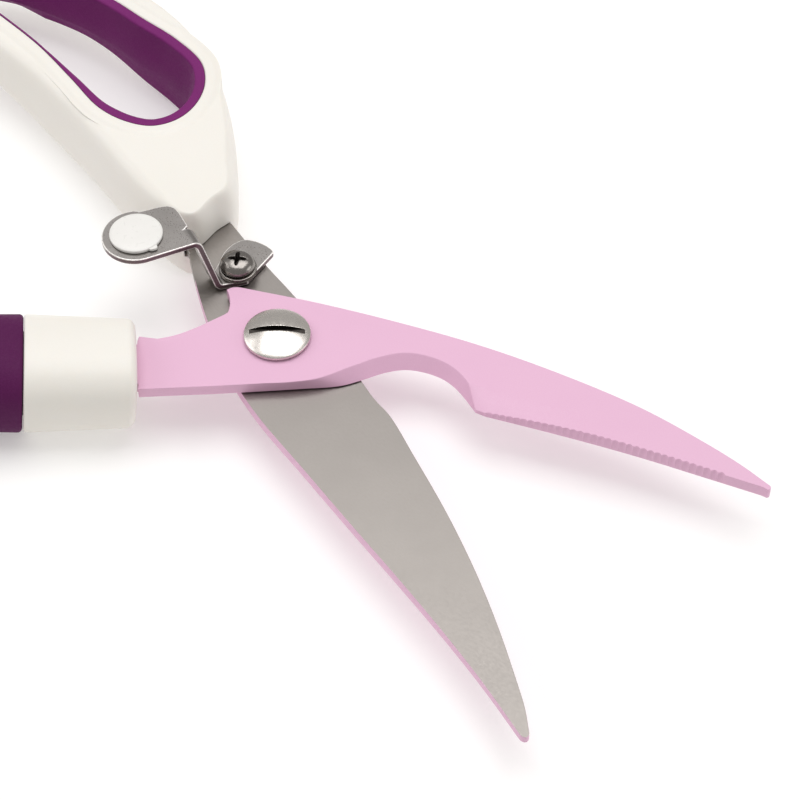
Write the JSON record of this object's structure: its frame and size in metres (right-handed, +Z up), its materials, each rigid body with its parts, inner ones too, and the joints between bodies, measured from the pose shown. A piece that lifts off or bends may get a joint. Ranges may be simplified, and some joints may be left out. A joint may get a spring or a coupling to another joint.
{
  "type": "locking poultry shears",
  "caption": "Poultry and kitchen shears with pink-coated blades, a bone notch, a finger loop, a lever grip and a swivel storage latch.",
  "frame": {"origin": "centre of the pivot nut's flat underside, on the axis that both blades turn on", "axes": "+Z up along the pivot axis, towards the slotted screw head; +X from the pivot towards the blade tips, halfway between the open blades; +Y towards the finger loop's side"},
  "size_m": [0.2398, 0.1581, 0.0221],
  "materials": {
    "pink_coating": "satin pink non-stick coating on stainless steel",
    "blade_steel": "brushed stainless inner face, pink coated outside",
    "nickel_plate": "polished nickel plate",
    "latch_steel": "brushed stainless sheet",
    "screw_steel": "plain steel screw",
    "ivory_plastic": "satin moulded plastic",
    "button_plastic": "glossy moulded plastic",
    "purple_rubber": "matte soft-touch thermoplastic rubber"
  },
  "bodies": {
    "lower_half": {"lower_blade": "blade_steel", "loop_body": "ivory_plastic", "loop_liner": "purple_rubber", "pivot_nut": "nickel_plate", "pivot_screw": "nickel_plate", "latch_screw": "screw_steel", "latch_washer": "screw_steel"},
    "upper_half": {"upper_blade": "pink_coating", "lever_core": "ivory_plastic", "lever_sleeve": "purple_rubber"},
    "latch": {"latch_plate": "latch_steel", "latch_button": "button_plastic"}
  },
  "joints": [
    {"name": "blade_pivot", "type": "hinge", "parent": "lower_half", "child": "upper_half", "pos_m": [0, 0, 0], "axis": [0, 0, 1], "range_deg": [-41.5, 14.5]},
    {"name": "latch_swivel", "type": "hinge", "parent": "lower_half", "child": "latch", "pos_m": [-0.01956, 0.00823, 0], "axis": [0, 0, 1], "range_deg": [-88, 0]}
  ]
}
